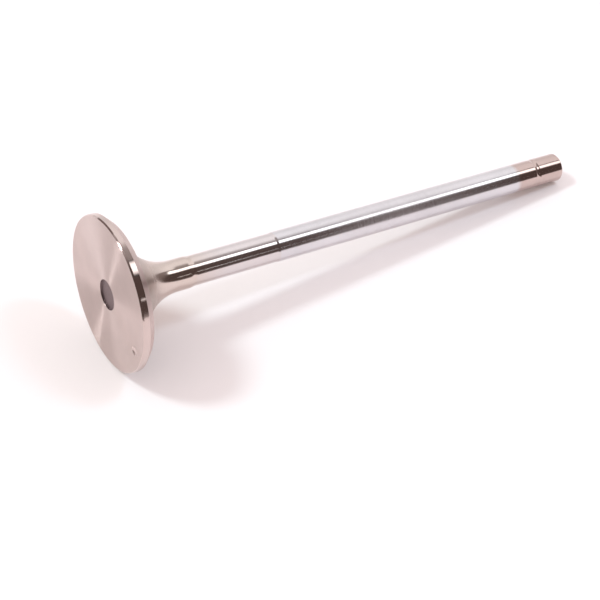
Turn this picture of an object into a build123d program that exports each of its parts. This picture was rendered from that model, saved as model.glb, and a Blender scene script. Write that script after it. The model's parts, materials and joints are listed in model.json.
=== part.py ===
from build123d import *
import os
from math import radians, sqrt, tan

# Poppet valve of a diesel engine, forged and turned as one piece.
# It stands on its flat combustion face: the origin is that face's centre,
# +Z runs up the stem to the tip and +X points at the ball dent in the face.
# Lengths are in mm, angles in degrees.

# Head
head_d = 40.4
margin_h = 2.0
face_bevel = 0.25
seat_h = 1.7
seat_angle = 45.0
underhead_angle = 22.0

# Recess turned in the middle of the combustion face
recess_d = 7.9
recess_depth = 0.5
recess_root_r = 0.2

# Ball dent of the hardness test, near the rim of the combustion face
dent_d = 2.6
dent_ball_d = 5.0
dent_inset = 3.6

# Neck, from the underhead up to its shoulder
neck_d = 8.24
neck_fillet_r = 13.0
neck_land = 1.1
shoulder_run = 1.6

# Stem: an undersize stretch, the plated guided stretch, then the bare end
relief_d = 7.76
relief_length = 25.9
ledge_run = 0.6
stem_d = 7.96
plating_fade = 0.6
end_d = 7.92
end_length = 15.8
overall_length = 141.4

# Keeper groove and tip
groove_to_tip = 8.6
groove_width = 1.5
groove_depth = 0.28
tip_bevel_h = 1.0
tip_bevel = 0.75

# Radii and heights that follow from the sizes above
head_r = head_d / 2
seat_top_z = margin_h + seat_h
seat_top_r = head_r - seat_h / tan(radians(seat_angle))
neck_r = neck_d / 2
neck_corner_z = seat_top_z + (seat_top_r - neck_r) * tan(radians(underhead_angle))
fillet_reach = neck_fillet_r * tan(radians(90 - underhead_angle) / 2)
shoulder_z = neck_corner_z + fillet_reach + neck_land
relief_z = shoulder_z + shoulder_run
ledge_z = relief_z + relief_length
guided_z = ledge_z + ledge_run
end_z = overall_length - end_length
end_r = end_d / 2
groove_z = overall_length - groove_to_tip
dent_r = head_r - dent_inset
dent_ball_r = dent_ball_d / 2
dent_ball_z = -sqrt(dent_ball_r**2 - (dent_d / 2) ** 2)

with BuildPart() as valve:
    # Half section of the whole valve, turned about the stem's axis
    with BuildSketch(Plane.XZ) as half_section:
        with BuildLine():
            Polyline(
                (0, recess_depth),
                (recess_d / 2, recess_depth),
                (recess_d / 2, 0),
                (head_r - face_bevel, 0),
                (head_r, face_bevel),
                (head_r, margin_h),
                (seat_top_r, seat_top_z),
                (neck_r, neck_corner_z),
                (neck_r, shoulder_z),
                (relief_d / 2, relief_z),
                (relief_d / 2, ledge_z),
                (stem_d / 2, guided_z),
                (stem_d / 2, end_z - plating_fade),
                (end_r, end_z),
                (end_r, overall_length - tip_bevel_h),
                (end_r - tip_bevel, overall_length),
                (0, overall_length),
                close=True,
            )
        make_face()
        corners = half_section.vertices()
        neck_corner = corners.sort_by_distance((neck_r, neck_corner_z))[0]
        recess_root = corners.sort_by_distance((recess_d / 2, recess_depth))[0]
        fillet(neck_corner, neck_fillet_r)
        fillet(recess_root, recess_root_r)
    revolve(axis=Axis.Z)

    # Keeper groove: a shallow round-bottomed ring below the tip
    with BuildSketch(Plane.XZ):
        with BuildLine():
            ThreePointArc(
                (end_r, groove_z - groove_width / 2),
                (end_r - groove_depth, groove_z),
                (end_r, groove_z + groove_width / 2),
            )
            Polyline(
                (end_r, groove_z + groove_width / 2),
                (stem_d / 2, groove_z + groove_width / 2),
                (stem_d / 2, groove_z - groove_width / 2),
                (end_r, groove_z - groove_width / 2),
            )
        make_face()
    revolve(axis=Axis.Z, mode=Mode.SUBTRACT)

    # Ball dent pressed into the combustion face, on the +X side
    with Locations((dent_r, 0, dent_ball_z)):
        Sphere(dent_ball_r, mode=Mode.SUBTRACT)

valve.part.label = "valve"

os.makedirs("parts", exist_ok=True)
export_step(valve.part, "parts/valve.step")
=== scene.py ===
import json
import math

import bpy
from mathutils import Matrix, Vector

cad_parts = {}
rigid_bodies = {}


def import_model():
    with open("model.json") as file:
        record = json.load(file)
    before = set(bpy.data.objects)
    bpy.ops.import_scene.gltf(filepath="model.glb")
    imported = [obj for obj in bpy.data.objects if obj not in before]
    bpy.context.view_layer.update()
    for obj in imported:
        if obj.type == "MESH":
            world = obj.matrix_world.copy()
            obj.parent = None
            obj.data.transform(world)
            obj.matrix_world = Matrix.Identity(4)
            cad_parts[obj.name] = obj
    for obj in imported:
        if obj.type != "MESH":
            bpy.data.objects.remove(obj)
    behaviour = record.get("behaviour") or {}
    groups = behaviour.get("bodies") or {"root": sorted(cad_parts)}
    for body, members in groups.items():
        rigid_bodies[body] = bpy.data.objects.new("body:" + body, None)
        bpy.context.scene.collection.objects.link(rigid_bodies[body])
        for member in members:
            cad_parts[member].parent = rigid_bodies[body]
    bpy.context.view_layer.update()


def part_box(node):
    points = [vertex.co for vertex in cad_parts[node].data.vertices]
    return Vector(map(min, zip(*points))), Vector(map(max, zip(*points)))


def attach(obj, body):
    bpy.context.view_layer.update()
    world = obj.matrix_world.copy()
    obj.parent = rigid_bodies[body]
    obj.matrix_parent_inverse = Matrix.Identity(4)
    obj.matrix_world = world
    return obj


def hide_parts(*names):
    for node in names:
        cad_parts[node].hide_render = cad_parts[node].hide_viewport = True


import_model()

mm = 0.001

# ---------------------------------------------------------------------------
# Combustion face: the flat bottom of the head, forged in heat-resisting steel
# and faced on a lathe, so fine rings run round it. The shallow pocket in its
# middle keeps the dull dark skin of the forging. A bevel breaks its rim.
# ---------------------------------------------------------------------------
valve_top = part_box("valve")[1]      # the highest corner of its box
head_r = valve_top.x
overall_length = valve_top.z
recess_r = 3.95 * mm
recess_depth = 0.5 * mm
recess_root_r = 0.2 * mm
face_bevel = 0.23 * mm
face_bevel_h = 0.42 * mm
edge_break = 0.06 * mm
face_tint = (0.678, 0.566, 0.538)
recess_tint = (0.24, 0.185, 0.19)
blotch = 0.06               # how far a finish's tint strays from its own, as a share of it
blotches_per_metre = 140.0
mark_depth = 0.003 * mm
quarter_turn = 0.25

section_corners = []        # (radius, height, rounding radius, steps in the rounding)


def corner(radius, height, rounding=0.0, steps=1):
    """Adds a corner to the half section of the valve, from the face's middle up to the tip."""
    section_corners.append((radius, height, rounding, steps))


class Nodes:
    """A short way to write a node tree: each call makes a node and feeds its inputs."""

    def __init__(self, tree):
        self.tree = tree

    def add(self, kind, inputs=None, **settings):
        """A node with its settings and inputs. An input is a value or another node's output."""
        node = self.tree.nodes.new(kind)
        for name, value in settings.items():
            setattr(node, name, value)
        for key, value in (inputs or {}).items():
            self.feed(node.inputs[key], value)
        return node

    def feed(self, socket, value):
        if isinstance(value, bpy.types.NodeSocket):
            self.tree.links.new(value, socket)
        else:
            socket.default_value = value

    def calc(self, operation, a, b=0.0, c=0.0):
        return self.add("ShaderNodeMath", {0: a, 1: b, 2: c}, operation=operation).outputs[0]

    def ramp(self, value, low, high, at_low=0.0, at_high=1.0):
        """Passes softly from at_low to at_high as the value goes from low to high."""
        ends = {"From Min": low, "From Max": high, "To Min": at_low, "To Max": at_high}
        node = self.add("ShaderNodeMapRange", {"Value": value, **ends}, interpolation_type="SMOOTHSTEP")
        return node.outputs[0]

    def blend(self, share, first, second):
        """Two colours mixed: sockets 6 and 7 are the node's colour inputs, 2 its colour output."""
        return self.add("ShaderNodeMix", {0: share, 6: first, 7: second}, data_type="RGBA").outputs[2]


def rgb(tint):
    return (*tint, 1.0)


def steel(name, tint, roughness, grain, marks, anisotropy=0.0, along="Z", worn=None, fade_from=None):
    """A metal finish whose tool marks run round the valve's axis.

    grain is the marks' spacing and marks how strongly they show. along is "Z" where the marks
    follow each other up the stem, and "radius" where they follow each other outwards.
    worn is (start, middle, end, dulling): a stretch that use has dulled, most in its middle.
    fade_from is (start, end, tint, roughness): another tint and roughness, which pass into
    the finish's own from the start to the end.
    """
    material = bpy.data.materials.new(name)
    material.use_nodes = True
    n = Nodes(material.node_tree)
    shader = material.node_tree.nodes["Principled BSDF"]
    place = n.add("ShaderNodeTexCoord").outputs["Object"]
    split = n.add("ShaderNodeSeparateXYZ", {0: place}).outputs
    flat = n.add("ShaderNodeCombineXYZ", {"X": split["X"], "Y": split["Y"]}).outputs[0]
    radius = n.add("ShaderNodeVectorMath", {0: flat}, operation="LENGTH").outputs["Value"]
    run = split["Z"] if along == "Z" else radius

    pattern = {"W": n.calc("MULTIPLY", run, 1 / grain), "Scale": 1.0, "Detail": 3.0, "Roughness": 0.6}
    rings = n.add("ShaderNodeTexNoise", pattern, noise_dimensions="1D").outputs["Fac"]
    pattern = {"Vector": place, "Scale": blotches_per_metre, "Detail": 4.0}
    cloud = n.add("ShaderNodeTexNoise", pattern).outputs["Fac"]
    lighter = tuple(min(1.0, part * (1 + blotch)) for part in tint)
    darker = tuple(part * (1 - blotch) for part in tint)
    rings_and_cloud = n.calc("MULTIPLY_ADD", rings, 0.5, n.calc("MULTIPLY", cloud, 0.5))
    colour = n.blend(n.ramp(rings_and_cloud, 0.3, 0.7), rgb(darker), rgb(lighter))
    rough = n.ramp(rings, 0.25, 0.75, roughness * (1 - marks), roughness * (1 + marks))
    metallic = 1.0

    if fade_from:
        start, end, first_tint, first_roughness = fade_from
        own = n.ramp(run, start, end)
        colour = n.blend(own, rgb(first_tint), colour)
        not_own = n.calc("SUBTRACT", 1.0, own)
        rough = n.calc("MULTIPLY_ADD", not_own, first_roughness - roughness, rough)
    if worn:
        start, middle, end, dulling = worn
        haze = n.calc("MULTIPLY", n.ramp(run, start, middle), n.ramp(run, end, middle))
        rough = n.calc("MULTIPLY_ADD", haze, dulling, rough)
        metallic = n.calc("MULTIPLY_ADD", haze, -dulling, 1.0)

    n.feed(shader.inputs["Base Color"], colour)
    n.feed(shader.inputs["Roughness"], rough)
    n.feed(shader.inputs["Metallic"], metallic)
    if anisotropy:
        round_the_axis = n.add("ShaderNodeTangent", direction_type="RADIAL", axis="Z").outputs[0]
        shader.inputs["Anisotropic"].default_value = anisotropy
        shader.inputs["Anisotropic Rotation"].default_value = quarter_turn
        n.feed(shader.inputs["Tangent"], round_the_axis)
    bump = n.add("ShaderNodeBump", {"Strength": marks, "Distance": mark_depth, "Height": rings})
    n.feed(shader.inputs["Normal"], bump.outputs[0])
    return material


corner(0, recess_depth)
corner(recess_r, recess_depth, recess_root_r, steps=6)
corner(recess_r, 0, edge_break, steps=4)
corner(head_r - face_bevel, 0, edge_break, steps=4)
corner(head_r, face_bevel_h, edge_break, steps=4)
turned_face = steel("turned_face", face_tint, roughness=0.34, grain=0.16 * mm, marks=0.08,
                    anisotropy=1.0, along="radius")
recess_skin = steel("recess_skin", recess_tint, roughness=0.55, grain=0.3 * mm, marks=0.2, along="radius")

# ---------------------------------------------------------------------------
# Ball dent: the mark of the hardness test in the combustion face, near its rim.
# A hard ball was pressed into the bare steel there and left it bright.
# ---------------------------------------------------------------------------
dent_r = 1.3 * mm
dent_ball_r = 1.9 * mm
dent_inset = 3.6 * mm
dent_place = head_r - dent_inset
dent_tint = (0.66, 0.55, 0.525)

pressed_dent = steel("pressed_dent", dent_tint, roughness=0.10, grain=0.3 * mm, marks=0.05, along="radius")

# ---------------------------------------------------------------------------
# Margin and seat: the cylinder round the head, and the 45 degree cone that
# closes on the seat ring in the cylinder head. Both are ground bright.
# ---------------------------------------------------------------------------
margin_h = 1.8 * mm
seat_h = 1.9 * mm
seat_top_z = margin_h + seat_h
seat_top_r = head_r - seat_h
margin_rounding = 0.08 * mm
seat_rounding = 0.15 * mm
rim_tint = (0.628, 0.515, 0.487)
seat_tint = (0.63, 0.51, 0.485)

corner(head_r, margin_h, margin_rounding, steps=5)
corner(seat_top_r, seat_top_z, seat_rounding, steps=8)
ground_rim = steel("ground_rim", rim_tint, roughness=0.13, grain=0.12 * mm, marks=0.12, anisotropy=0.8)
ground_seat = steel("ground_seat", seat_tint, roughness=0.32, grain=0.12 * mm, marks=0.12, anisotropy=1.0)
finish_zones = [            # (finish, from height, to height); what lies lower is the turned face
    (ground_rim, 0.0, margin_h),
    (ground_seat, margin_h, seat_top_z),
]

# ---------------------------------------------------------------------------
# Neck: the underhead cone that runs into the stem in one large fillet, up to a
# low shoulder. Belt polished to a warm satin, and duller under the head. There its tint
# is also darker and browner: painted shade, where the head shades the neck.
# ---------------------------------------------------------------------------
underhead_angle = math.radians(22)
neck_r = 4.12 * mm
neck_fillet_r = 13 * mm
neck_land = 3.48 * mm
shoulder_run = 1.3 * mm
shoulder_rounding = 4 * mm
neck_corner_z = seat_top_z + (seat_top_r - neck_r) * math.tan(underhead_angle)
fillet_reach = neck_fillet_r * math.tan((math.pi / 2 - underhead_angle) / 2)
shoulder_z = neck_corner_z + fillet_reach + neck_land
relief_z = shoulder_z + shoulder_run
neck_tint = (0.645, 0.545, 0.50)
# painted shade: a darker, browner tint under the head, passing into the neck's own tint between the two
# heights below
underhead_shade_tint = (0.47, 0.395, 0.36)
underhead_shade_z = 7.5 * mm
underhead_shade_end_z = 14 * mm

corner(neck_r, neck_corner_z, neck_fillet_r, steps=72)
corner(neck_r, shoulder_z, shoulder_rounding, steps=6)
satin_neck = steel("satin_neck", neck_tint, roughness=0.13, grain=0.2 * mm, marks=0.1, anisotropy=0.6,
                   fade_from=(underhead_shade_z, underhead_shade_end_z, underhead_shade_tint, 0.38))
finish_zones.append((satin_neck, seat_top_z, relief_z))

# ---------------------------------------------------------------------------
# Relieved stem: the undersize stretch above the neck, ground but not plated,
# up to the fine ledge where the plated stem starts. The neck's warm tint runs
# on into its lower half.
# ---------------------------------------------------------------------------
relief_r = 3.88 * mm
relief_length = 23.9 * mm
ledge_run = 0.6 * mm
ledge_rounding = 0.15 * mm
ledge_z = relief_z + relief_length
guided_z = ledge_z + ledge_run
relief_tint = (0.68, 0.625, 0.63)
warm_z = 18 * mm
warm_end_z = 34 * mm

corner(relief_r, relief_z, shoulder_rounding, steps=6)
corner(relief_r, ledge_z, ledge_rounding, steps=4)
ground_stem = steel("ground_stem", relief_tint, roughness=0.14, grain=0.09 * mm, marks=0.15, anisotropy=0.6,
                    fade_from=(warm_z, warm_end_z, neck_tint, 0.14))
finish_zones.append((ground_stem, relief_z, guided_z))

# ---------------------------------------------------------------------------
# Plated stem: the long stretch that runs in the valve guide. Hard chrome on
# ground steel, polished, a little dulled in its middle. It thins out over the
# last two millimetres below the bare end.
# ---------------------------------------------------------------------------
stem_r = 3.98 * mm
plating_fade = 0.6 * mm
fade_rounding = 10 * mm
end_length = 15.8 * mm
end_z = overall_length - end_length
thin_plating = 1.2 * mm     # too thin to feel, past the step down to the bare end
plating_end_z = end_z + thin_plating
thinning = 1.9 * mm
worn_stretch = (50 * mm, 82 * mm, 128 * mm)
chrome_tint = (0.68, 0.655, 0.68)
end_tint = (0.57, 0.45, 0.42)

corner(stem_r, guided_z, ledge_rounding, steps=4)
corner(stem_r, end_z - plating_fade, fade_rounding, steps=4)
hard_chrome = steel("hard_chrome", chrome_tint, roughness=0.18, grain=0.07 * mm, marks=0.12, anisotropy=0.5,
                    worn=(*worn_stretch, 0.10),
                    fade_from=(plating_end_z, plating_end_z - thinning, end_tint, 0.14))
finish_zones.append((hard_chrome, guided_z, plating_end_z))

# ---------------------------------------------------------------------------
# Bare end: the unplated steel at the top, ground, with the round-bottomed
# groove that the spring keepers grip, and the hardened tip, which the rocker
# presses on.
# ---------------------------------------------------------------------------
end_r = 3.96 * mm
groove_to_tip = 8.6 * mm
groove_z = overall_length - groove_to_tip
groove_half = 0.75 * mm
groove_depth = 0.14 * mm
groove_round = (groove_half**2 + groove_depth**2) / (2 * groove_depth)
groove_steps = 4            # from its middle to either edge
tip_bevel_h = 0.3 * mm
tip_bevel = 0.25 * mm
tip_rounding = 0.08 * mm

corner(end_r, end_z, fade_rounding, steps=4)
corner(end_r, plating_end_z)
corner(end_r, groove_z - groove_half, edge_break, steps=3)
for step in range(1 - groove_steps, groove_steps):
    rise = groove_half * step / groove_steps
    sink = math.sqrt(groove_round**2 - rise**2) - (groove_round - groove_depth)
    corner(end_r - sink, groove_z + rise)
corner(end_r, groove_z + groove_half, edge_break, steps=3)
corner(end_r, overall_length - tip_bevel_h, tip_rounding, steps=4)
corner(end_r - tip_bevel, overall_length, tip_rounding, steps=4)
corner(0, overall_length)
bare_end = steel("bare_end", end_tint, roughness=0.14, grain=0.09 * mm, marks=0.15, anisotropy=0.5)
past_tip = overall_length + 1 * mm
finish_zones.append((bare_end, plating_end_z, past_tip))

# ---------------------------------------------------------------------------
# The valve: one forging, turned about the stem's axis from the half section
# above, with the ball dent pressed into its face.
# ---------------------------------------------------------------------------
turns = 300                 # facets round the axis
hold = 0.12 * mm            # the faces beside a rounding stay true from this far off
room_to_hold = 2.5          # a straight run shorter than this many held lengths has no room
ball_facets = 128
weld = 0.001 * mm
sharp_edge = math.radians(28)       # an edge that bends more than this is shaded sharp
sunk_z = 0.012 * mm         # a spot higher than this isn't on the flat face
pocket_top = 1.0 * mm       # above the recess and the dent


def held_corners(corners):
    """The corners, with a plain point either side of each rounding where the run has room for it."""
    points = []
    for i, (radius, height, rounding, steps) in enumerate(corners):
        if not rounding:
            points.append((radius, height, rounding, steps))
            continue
        here = Vector((radius, height))
        before = Vector(corners[i - 1][:2]) - here
        after = Vector(corners[i + 1][:2]) - here
        reach = rounding / math.tan(before.angle(after) / 2) + hold
        if before.length > room_to_hold * reach:
            points.append((*(here + before.normalized() * reach), 0.0, 1))
        points.append((radius, height, rounding, steps))
        if after.length > room_to_hold * reach:
            points.append((*(here + after.normalized() * reach), 0.0, 1))
    return points


def half_section(corners):
    """The half section as a wire in the XZ plane, with each corner's rounding as attributes."""
    wire = bpy.data.meshes.new("half_section")
    points = [(radius, 0, height) for radius, height, rounding, steps in corners]
    wire.from_pydata(points, [(i, i + 1) for i in range(len(points) - 1)], [])
    for name, kind, column in (("rounding", "FLOAT", 2), ("steps", "INT", 3)):
        values = wire.attributes.new(name, kind, "POINT")
        values.data.foreach_set("value", [entry[column] for entry in corners])
    return wire


def lathe_tree(size_names):
    """Rounds the half section's corners, turns it about Z, sinks the dent and sets each zone's finish."""
    tree = bpy.data.node_groups.new("turned_valve", "GeometryNodeTree")
    tree.interface.new_socket("Half section", in_out="INPUT", socket_type="NodeSocketGeometry")
    for name in size_names:
        kind = "NodeSocketInt" if name == "Turns" else "NodeSocketFloat"
        tree.interface.new_socket(name, in_out="INPUT", socket_type=kind)
    tree.interface.new_socket("Valve", in_out="OUTPUT", socket_type="NodeSocketGeometry")
    n = Nodes(tree)
    sizes = n.add("NodeGroupInput").outputs

    def compare(value, operation, limit):
        inputs = {"A": value, "B": limit}
        return n.add("FunctionNodeCompare", inputs, data_type="FLOAT", operation=operation).outputs[0]

    def both(first, second):
        return n.add("FunctionNodeBooleanMath", {0: first, 1: second}, operation="AND").outputs[0]

    def finished(shape, finish, where=True):
        inputs = {"Geometry": shape, "Selection": where, "Material": finish}
        return n.add("GeometryNodeSetMaterial", inputs).outputs[0]

    # The half section as a curve with rounded corners
    steps = n.add("GeometryNodeInputNamedAttribute", {"Name": "steps"}, data_type="INT")
    rounding = n.add("GeometryNodeInputNamedAttribute", {"Name": "rounding"}, data_type="FLOAT")
    curve = n.add("GeometryNodeMeshToCurve", {"Mesh": sizes["Half section"]}).outputs[0]
    inputs = {"Curve": curve, "Count": steps.outputs["Attribute"], "Radius": rounding.outputs["Attribute"]}
    rounded = n.add("GeometryNodeFilletCurve", inputs, mode="POLY").outputs[0]

    # A grid with a column for each step round the axis, and each column laid on the turned curve
    count = n.add("GeometryNodeAttributeDomainSize", {"Geometry": rounded}, component="CURVE")
    points = count.outputs["Point Count"]
    columns = n.calc("ADD", sizes["Turns"], 1)
    grid = n.add("GeometryNodeMeshGrid", {"Vertices X": columns, "Vertices Y": points})
    index = n.add("GeometryNodeInputIndex").outputs[0]
    column = n.calc("FLOOR", n.calc("DIVIDE", n.calc("ADD", index, 0.5), points))
    row = n.calc("SUBTRACT", index, n.calc("MULTIPLY", column, points))
    position = n.add("GeometryNodeInputPosition").outputs[0]
    inputs = {"Geometry": rounded, "Value": position, "Index": row}
    place = n.add("GeometryNodeSampleIndex", inputs, data_type="FLOAT_VECTOR", domain="POINT").outputs[0]
    angle = n.calc("MULTIPLY", n.calc("DIVIDE", column, sizes["Turns"]), 2 * math.pi)
    inputs = {"Vector": place, "Angle": angle}
    turned = n.add("ShaderNodeVectorRotate", inputs, rotation_type="Z_AXIS").outputs[0]
    inputs = {"Geometry": grid.outputs["Mesh"], "Position": turned}
    shape = n.add("GeometryNodeSetPosition", inputs).outputs[0]
    closed = n.add("GeometryNodeMergeByDistance", {"Geometry": shape, "Distance": weld}).outputs[0]

    # The ball's centre lies below the face, so that it cuts the dent's rim circle there
    inputs = {"Segments": ball_facets, "Rings": ball_facets, "Radius": sizes["Dent ball radius"]}
    ball = n.add("GeometryNodeMeshUVSphere", inputs).outputs["Mesh"]
    ball_square = n.calc("POWER", sizes["Dent ball radius"], 2.0)
    dent_square = n.calc("POWER", sizes["Dent radius"], 2.0)
    centre_depth = n.calc("SQRT", n.calc("SUBTRACT", ball_square, dent_square))
    centre_z = n.calc("MULTIPLY", centre_depth, -1.0)
    centre = n.add("ShaderNodeCombineXYZ", {"X": sizes["Dent place"], "Z": centre_z}).outputs[0]
    placed = n.add("GeometryNodeTransform", {"Geometry": ball, "Translation": centre}).outputs[0]
    inputs = {"Mesh 1": closed, "Mesh 2": placed}
    dented = n.add("GeometryNodeMeshBoolean", inputs, operation="DIFFERENCE", solver="EXACT")

    # Smooth all over, but for the sharp edges
    inputs = {"Geometry": dented.outputs["Mesh"], "Shade Smooth": True}
    smooth = n.add("GeometryNodeSetShadeSmooth", inputs).outputs[0]
    bend = n.add("GeometryNodeInputMeshEdgeAngle").outputs["Unsigned Angle"]
    sharp = compare(bend, "GREATER_THAN", sharp_edge)
    inputs = {"Geometry": smooth, "Selection": sharp, "Shade Smooth": False}
    shaded = n.add("GeometryNodeSetShadeSmooth", inputs, domain="EDGE").outputs[0]

    # Turned all over, then each zone's own finish, then the dent and the recess in the face
    spot = n.add("ShaderNodeSeparateXYZ", {0: position}).outputs
    flat = n.add("ShaderNodeCombineXYZ", {"X": spot["X"], "Y": spot["Y"]}).outputs[0]
    from_axis = n.add("ShaderNodeVectorMath", {0: flat}, operation="LENGTH").outputs["Value"]
    ready = n.add("GeometryNodeRealizeInstances", {"Geometry": shaded}).outputs[0]
    ready = finished(ready, turned_face)
    for i, (finish, low, high) in enumerate(finish_zones):
        above = compare(spot["Z"], "GREATER_THAN", sizes[f"Zone {i} from"])
        below = compare(spot["Z"], "LESS_THAN", sizes[f"Zone {i} to"])
        ready = finished(ready, finish, both(above, below))
    sunk = both(compare(spot["Z"], "LESS_THAN", pocket_top), compare(spot["Z"], "GREATER_THAN", sunk_z))
    dent_far_side = n.calc("ADD", sizes["Dent place"], sizes["Dent radius"])
    ready = finished(ready, pressed_dent, both(compare(from_axis, "LESS_THAN", dent_far_side), sunk))
    in_recess = compare(from_axis, "LESS_EQUAL", sizes["Recess radius"])
    ready = finished(ready, recess_skin, both(in_recess, sunk))
    out = n.add("NodeGroupOutput")
    tree.links.new(ready, out.inputs[0])
    return tree


lathe_sizes = {
    "Turns": turns,
    "Dent place": dent_place,
    "Dent radius": dent_r,
    "Dent ball radius": dent_ball_r,
    "Recess radius": recess_r,
}
for i, (finish, low, high) in enumerate(finish_zones):
    lathe_sizes[f"Zone {i} from"] = low
    lathe_sizes[f"Zone {i} to"] = high

scene_objects = bpy.context.scene.collection.objects
blank = bpy.data.objects.new("valve_blank", half_section(held_corners(section_corners)))
scene_objects.link(blank)
lathe = blank.modifiers.new("lathe", "NODES")
lathe.node_group = lathe_tree(lathe_sizes)
for socket in lathe.node_group.interface.items_tree:
    if socket.name in lathe_sizes:
        lathe[socket.identifier] = lathe_sizes[socket.name]
bpy.context.view_layer.update()
turned_blank = blank.evaluated_get(bpy.context.evaluated_depsgraph_get())
mesh = bpy.data.meshes.new_from_object(turned_blank)
blank.modifiers.clear()
valve = bpy.data.objects.new("turned_valve", mesh)
scene_objects.link(valve)
bpy.data.objects.remove(blank)
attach(valve, "root")
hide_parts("valve")

# ---------------------------------------------------------------------------
# Stage floor: the pale table that the valve lies on, on the rim of its head
# and the edge of its tip. It is seen from its upper side only.
# ---------------------------------------------------------------------------
floor_size = 0.9
floor_tint = (0.86, 0.86, 0.86)
lie_azimuth = math.radians(71.77)       # the side of the rim that is on the table
tip_edge_z = overall_length - tip_bevel_h
lie_tilt = math.atan((head_r - end_r) / (tip_edge_z - margin_h))
lie_side = Vector((math.cos(lie_azimuth), math.sin(lie_azimuth), 0))
floor_up = -(lie_side * math.cos(lie_tilt) + Vector((0, 0, math.sin(lie_tilt))))
rim_touch = lie_side * head_r + Vector((0, 0, margin_h))


def plate(name, width, height):
    """A flat rectangle in the XY plane, about the origin."""
    w, h = width / 2, height / 2
    mesh = bpy.data.meshes.new(name)
    mesh.from_pydata([(-w, -h, 0), (w, -h, 0), (w, h, 0), (-w, h, 0)], [], [(0, 1, 2, 3)])
    return mesh


def facing(place, direction):
    """The matrix that moves a thing from the origin to a place, with its +Z side facing a direction."""
    return Matrix.Translation(place) @ direction.to_track_quat("Z", "Y").to_matrix().to_4x4()


def empty_material(name):
    """A material that has only its output node, the nodes to fill it with and the socket they feed."""
    material = bpy.data.materials.new(name)
    material.use_nodes = True
    material.node_tree.nodes.remove(material.node_tree.nodes["Principled BSDF"])
    surface = material.node_tree.nodes["Material Output"].inputs["Surface"]
    return material, Nodes(material.node_tree), surface


floor_mesh = plate("floor", floor_size, floor_size)
floor_mesh.transform(facing(rim_touch, floor_up))
floor = bpy.data.objects.new("floor", floor_mesh)
scene_objects.link(floor)
floor_paper, n, surface = empty_material("floor_paper")
lit = n.add("ShaderNodeBsdfDiffuse", {"Color": rgb(floor_tint)}).outputs[0]
from_below = n.add("ShaderNodeNewGeometry").outputs["Backfacing"]
clear = n.add("ShaderNodeBsdfTransparent").outputs[0]
n.feed(surface, n.add("ShaderNodeMixShader", {0: from_below, 1: lit, 2: clear}).outputs[0])
floor_mesh.materials.append(floor_paper)

# ---------------------------------------------------------------------------
# Camera: a long lens above the table. It sees the combustion face aslant, on
# the left, with the stem going off to the right and away.
# ---------------------------------------------------------------------------
camera_place = Vector((0.1580, -0.3103, -0.1269))
camera_right = Vector((0.4475, -0.2729, 0.8516)).normalized()
camera_forward = Vector((-0.3695, 0.8108, 0.4540)).normalized()
camera_up = camera_right.cross(camera_forward).normalized()

camera_data = bpy.data.cameras.new("camera")
camera_data.lens = 90.0
camera_data.sensor_width = 36.0
camera_data.clip_start = 0.01
camera_data.clip_end = 20.0
camera = bpy.data.objects.new("camera", camera_data)
camera_axes = Matrix((camera_right, camera_up, -camera_forward)).transposed().to_4x4()
camera.matrix_world = Matrix.Translation(camera_place) @ camera_axes
scene_objects.link(camera)
bpy.context.scene.camera = camera

# ---------------------------------------------------------------------------
# Lamps: a flash with a soft front on the left, some way off, and a small lamp
# close by on the right. They light the table and the valve's dull skin. Shiny
# surfaces don't mirror them, but the lit fronts of the next section.
# ---------------------------------------------------------------------------
toward_camera = (camera_forward.dot(floor_up) * floor_up - camera_forward).normalized()
camera_side = toward_camera.cross(floor_up).normalized()
if camera_side.dot(camera_right) < 0:
    camera_side = -camera_side
flash_azimuth = -90.7
flash_elevation = 55.0
flash_distance = 2.54
flash_tint = (0.815, 0.963, 1.0)
near_lamp_tint = (0.667, 0.833, 1.0)


def studio_direction(azimuth, elevation):
    """Azimuth is counted from the camera's side of the floor toward the camera's right."""
    azimuth, elevation = math.radians(azimuth), math.radians(elevation)
    level = toward_camera * math.cos(azimuth) + camera_side * math.sin(azimuth)
    return level * math.cos(elevation) + floor_up * math.sin(elevation)


def lamp(name, azimuth, elevation, distance, size, level, tint):
    """A round lamp that gives a white surface facing it this level of brightness."""
    data = bpy.data.lights.new(name, "AREA")
    data.shape = "DISK"
    data.size = size
    data.color = tint
    data.energy = level * math.pi * math.pi * distance**2
    item = bpy.data.objects.new(name, data)
    away = studio_direction(azimuth, elevation)
    item.matrix_world = facing(rim_touch + away * distance, away)
    item.visible_glossy = False
    scene_objects.link(item)


lamp("lamp_left", flash_azimuth, flash_elevation, flash_distance, size=0.50, level=0.383, tint=flash_tint)
lamp("lamp_right", 92.3, 56.2, 0.45, size=0.08, level=0.168, tint=near_lamp_tint)

# ---------------------------------------------------------------------------
# Lit fronts: the soft front of the flash on the left, and a dimmer softbox that
# leans over on the right. Only shiny surfaces see them, as the bright lines
# along the stem. They are brightest in the middle and fade to nothing.
# ---------------------------------------------------------------------------


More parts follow.
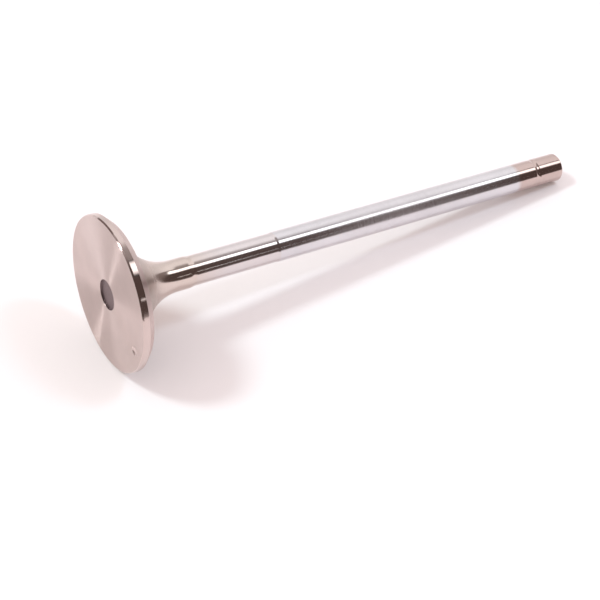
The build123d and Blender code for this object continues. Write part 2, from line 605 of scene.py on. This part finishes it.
def softbox(name, azimuth, elevation, distance, width, height, soft_sides, soft_ends, turn, level):
    """A rectangular lit front: level in its middle, none at its edge. It is turned in its own plane."""
    away = studio_direction(azimuth, elevation)
    side = floor_up.cross(away).normalized()
    axes = Matrix((side, away.cross(side), away)).transposed().to_4x4()
    front, n, surface = empty_material(name)
    place = n.add("ShaderNodeSeparateXYZ", {0: n.add("ShaderNodeTexCoord").outputs["Object"]}).outputs
    w, h = width / 2, height / 2
    across = n.ramp(n.calc("ABSOLUTE", place["X"]), w, w - soft_sides)
    upward = n.ramp(n.calc("ABSOLUTE", place["Y"]), h, h - soft_ends, 0.0, level)
    strength = n.calc("MULTIPLY", across, upward)
    n.feed(surface, n.add("ShaderNodeEmission", {"Strength": strength}).outputs[0])
    mesh = plate(name, width, height)
    mesh.materials.append(front)
    item = bpy.data.objects.new(name, mesh)
    turned = Matrix.Rotation(math.radians(turn), 4, "Z")
    item.matrix_world = Matrix.Translation(rim_touch + away * distance) @ axes @ turned
    item.visible_camera = False
    item.visible_diffuse = False
    item.visible_shadow = False
    item.visible_transmission = False
    scene_objects.link(item)


softbox("flash_left", flash_azimuth, flash_elevation, flash_distance, width=0.54, height=0.54,
        soft_sides=0.08, soft_ends=0.08, turn=0, level=23.0)
softbox("softbox_right", 100.3, 48.0, 1.0, width=0.39, height=0.66,
        soft_sides=0.13, soft_ends=0.14, turn=38, level=2.8)

# ---------------------------------------------------------------------------
# Room: what the polished steel mirrors. It is dark behind the camera, but for a
# small window, with a pale wall on the left and a grey one on the right. A white
# paper sweep stands behind the valve, with a doorway beside it and a ceiling above.
# ---------------------------------------------------------------------------
front_tint = (0.10, 0.072, 0.065)
left_wall_tint = (0.62, 0.57, 0.56)
right_wall_tint = (0.28, 0.23, 0.22)
table_tint = (0.44, 0.40, 0.39)
window_tint = (1.6, 1.6, 1.6)
low_sweep_tint = (0.98, 0.96, 0.96)
high_sweep_tint = (1.19, 1.17, 1.17)
doorway_tint = (0.23, 0.185, 0.175)
ceiling_tint = (0.41, 0.375, 0.365)
fill_tint = (0.985, 0.825, 0.80)        # the even light that the room gives dull surfaces
white = (1.0, 1.0, 1.0)
left_wall_edge = (-20, -90)             # degrees where each thing starts and is there in full
right_wall_edge = (92, 118)
table_edge = (5, -5)
sweep_edge = (128.5, 134.5)
sweep_rise = (12, 42)
sweep_slant = 0.18                      # degrees across for each degree up
ceiling_edge = (34.4, 43.9)
ceiling_slant = 0.12                    # degrees up for each degree across
ceiling_front = (0.2, -0.15)            # the same, as a share of the way toward the camera
window_across = (55, 62, 2)             # degrees from, to and blur
window_up = (19.0, 21.2, 1)
doorway_across = (-147, -108, 5)
doorway_up = (9, 49, 4)

room = bpy.data.worlds.new("room")
room.use_nodes = True
bpy.context.scene.world = room
n = Nodes(room.node_tree)
direction = n.add("ShaderNodeTexCoord").outputs["Generated"]


def along(axis):
    """How far the direction looked in runs along an axis, from -1 to 1."""
    return n.add("ShaderNodeVectorMath", {0: direction, 1: axis}, operation="DOT_PRODUCT").outputs["Value"]


def band(angle, low, high, blur):
    """1 between two angles and 0 outside them, with this blur at both."""
    rise = n.ramp(angle, low - blur / 2, low + blur / 2)
    fall = n.ramp(angle, high - blur / 2, high + blur / 2, 1.0, 0.0)
    return n.calc("MULTIPLY", rise, fall)


azimuth = n.calc("MULTIPLY", n.calc("ARCTAN2", along(camera_side), along(toward_camera)), 180 / math.pi)
elevation = n.calc("MULTIPLY", n.calc("ARCSINE", along(floor_up)), 180 / math.pi)
from_front = n.calc("ABSOLUTE", azimuth)
behind_valve = n.ramp(along(toward_camera), *ceiling_front)
window = n.calc("MULTIPLY", band(azimuth, *window_across), band(elevation, *window_up))
sweep_place = n.calc("MULTIPLY_ADD", elevation, sweep_slant, from_front)
sweep = n.blend(n.ramp(elevation, *sweep_rise), rgb(low_sweep_tint), rgb(high_sweep_tint))
doorway = n.calc("MULTIPLY", band(azimuth, *doorway_across), band(elevation, *doorway_up))
ceiling_place = n.calc("MULTIPLY_ADD", from_front, -ceiling_slant, elevation)
ceiling = n.calc("MULTIPLY", n.ramp(ceiling_place, *ceiling_edge), behind_valve)

seen = n.blend(n.ramp(azimuth, *left_wall_edge), rgb(front_tint), rgb(left_wall_tint))
seen = n.blend(n.ramp(azimuth, *right_wall_edge), seen, rgb(right_wall_tint))
seen = n.blend(n.ramp(elevation, *table_edge), seen, rgb(table_tint))
seen = n.blend(window, seen, rgb(window_tint))
seen = n.blend(n.ramp(sweep_place, *sweep_edge), seen, sweep)
seen = n.blend(doorway, seen, rgb(doorway_tint))
seen = n.blend(ceiling, seen, rgb(ceiling_tint))
path = n.add("ShaderNodeLightPath").outputs
light = n.blend(path["Is Glossy Ray"], rgb(fill_tint), seen)
shown = n.blend(path["Is Camera Ray"], light, rgb(white))
n.feed(room.node_tree.nodes["Background"].inputs["Color"], shown)

bpy.context.scene.view_settings.view_transform = "Standard"
